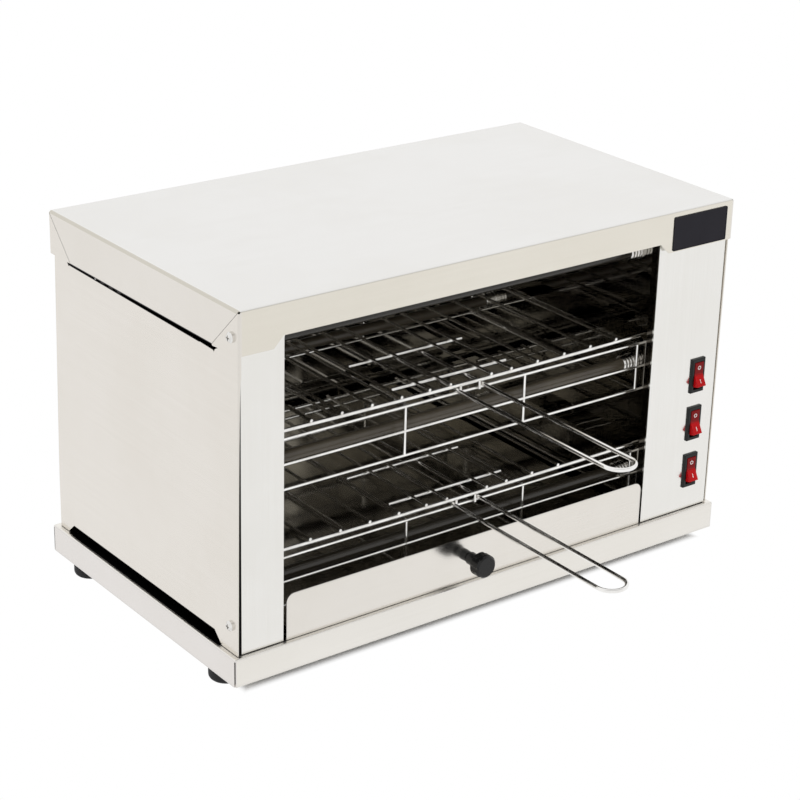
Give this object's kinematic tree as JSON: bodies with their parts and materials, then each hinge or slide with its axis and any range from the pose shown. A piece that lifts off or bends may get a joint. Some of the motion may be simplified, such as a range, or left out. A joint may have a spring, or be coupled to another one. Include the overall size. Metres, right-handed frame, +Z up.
{
  "type": "commercial toaster",
  "caption": "Countertop toaster, open in front: sliding wire racks with loop handles, quartz heating tubes behind wire guards, a crumb tray and a column of rocker switches on the right.",
  "frame": {"origin": "on the table, under the middle of the whole object with its rack handles and cable gland", "axes": "+X to the right seen from the front, +Y to the back, +Z up"},
  "size_m": [0.485, 0.446, 0.3055],
  "materials": {
    "cover_steel": "fine satin stainless",
    "side_steel": "fine satin stainless",
    "frame_steel": "fine satin stainless",
    "base_steel": "fine satin stainless",
    "back_steel": "satin stainless",
    "liner_steel": "mirror-polished stainless",
    "tray_steel": "polished stainless",
    "rack_wire": "bright plated wire",
    "guard_wire": "bright plated wire",
    "quartz": "frosted quartz",
    "coil_wire": "oxidised resistance wire",
    "cap_metal": "bright ribbed metal",
    "foot_rubber": "matt black",
    "screw_metal": "bright zinc",
    "knob_plastic": "semi-gloss black phenolic",
    "switch_black": "black moulded",
    "rocker_red": "translucent red",
    "blade_brass": "plain",
    "block_ceramic": "unglazed ceramic",
    "wire_sleeve": "glass-silicone sleeve",
    "feed_sleeve": "glass-silicone sleeve",
    "gland_nylon": "black nylon"
  },
  "bodies": {
    "cabinet": {"base_tray": "base_steel", "rubber_feet": "foot_rubber", "foot_screws": "screw_metal", "foot_nuts": "screw_metal", "top_cover": "cover_steel", "left_side_panel": "side_steel", "right_side_panel": "side_steel", "front_frame": "frame_steel", "back_panel": "back_steel", "side_screws": "screw_metal", "back_screws": "screw_metal", "cable_gland": "gland_nylon", "gland_nut": "gland_nylon", "left_liner": "liner_steel", "right_liner": "liner_steel", "back_liner": "liner_steel", "roof_reflector": "liner_steel", "upper_runner_left": "liner_steel", "upper_runner_right": "liner_steel", "lower_runner_left": "liner_steel", "lower_runner_right": "liner_steel", "upper_guard_bars": "guard_wire", "upper_guard_hoops": "guard_wire", "lower_guard_bars": "guard_wire", "lower_guard_hoops": "guard_wire", "heating_coils": "coil_wire", "tube_caps_top": "cap_metal", "tube_caps_middle": "cap_metal", "tube_caps_bottom": "cap_metal", "switch_housing_top": "switch_black", "switch_housing_middle": "switch_black", "switch_housing_bottom": "switch_black", "switch_terminals": "blade_brass", "jumper_wires": "wire_sleeve", "line_wires": "wire_sleeve", "return_wires": "wire_sleeve", "feed_wires": "feed_sleeve", "terminal_block": "block_ceramic", "earth_stud": "screw_metal", "earth_nut": "screw_metal", "quartz_tube_top_front": "quartz", "quartz_tube_top_rear": "quartz", "quartz_tube_middle_front": "quartz", "quartz_tube_middle_rear": "quartz", "quartz_tube_bottom_front": "quartz", "quartz_tube_bottom_rear": "quartz"},
    "upper_rack": {"upper_rack": "rack_wire", "upper_rack_handle": "rack_wire"},
    "lower_rack": {"lower_rack": "rack_wire", "lower_rack_handle": "rack_wire"},
    "crumb_tray": {"crumb_tray": "tray_steel", "tray_knob": "knob_plastic", "knob_screw": "screw_metal"},
    "top_rocker": {"switch_rocker_top": "rocker_red"},
    "middle_rocker": {"switch_rocker_middle": "rocker_red"},
    "bottom_rocker": {"switch_rocker_bottom": "rocker_red"}
  },
  "joints": [
    {"name": "upper_rack_slide", "type": "slide", "parent": "cabinet", "child": "upper_rack", "axis": [0, -1, 0], "range_m": [0, 0.2]},
    {"name": "lower_rack_slide", "type": "slide", "parent": "cabinet", "child": "lower_rack", "axis": [0, -1, 0], "range_m": [0, 0.2]},
    {"name": "crumb_tray_slide", "type": "slide", "parent": "cabinet", "child": "crumb_tray", "axis": [0, -1, 0], "range_m": [0, 0.22]},
    {"name": "top_switch_rocker", "type": "hinge", "parent": "cabinet", "child": "top_rocker", "pos_m": [0.215, -0.0508, 0.156], "axis": [1, 0, 0], "range_deg": [0, 26]},
    {"name": "middle_switch_rocker", "type": "hinge", "parent": "cabinet", "child": "middle_rocker", "pos_m": [0.215, -0.0508, 0.113], "axis": [1, 0, 0], "range_deg": [0, 26]},
    {"name": "bottom_switch_rocker", "type": "hinge", "parent": "cabinet", "child": "bottom_rocker", "pos_m": [0.215, -0.0508, 0.07], "axis": [1, 0, 0], "range_deg": [0, 26]}
  ]
}
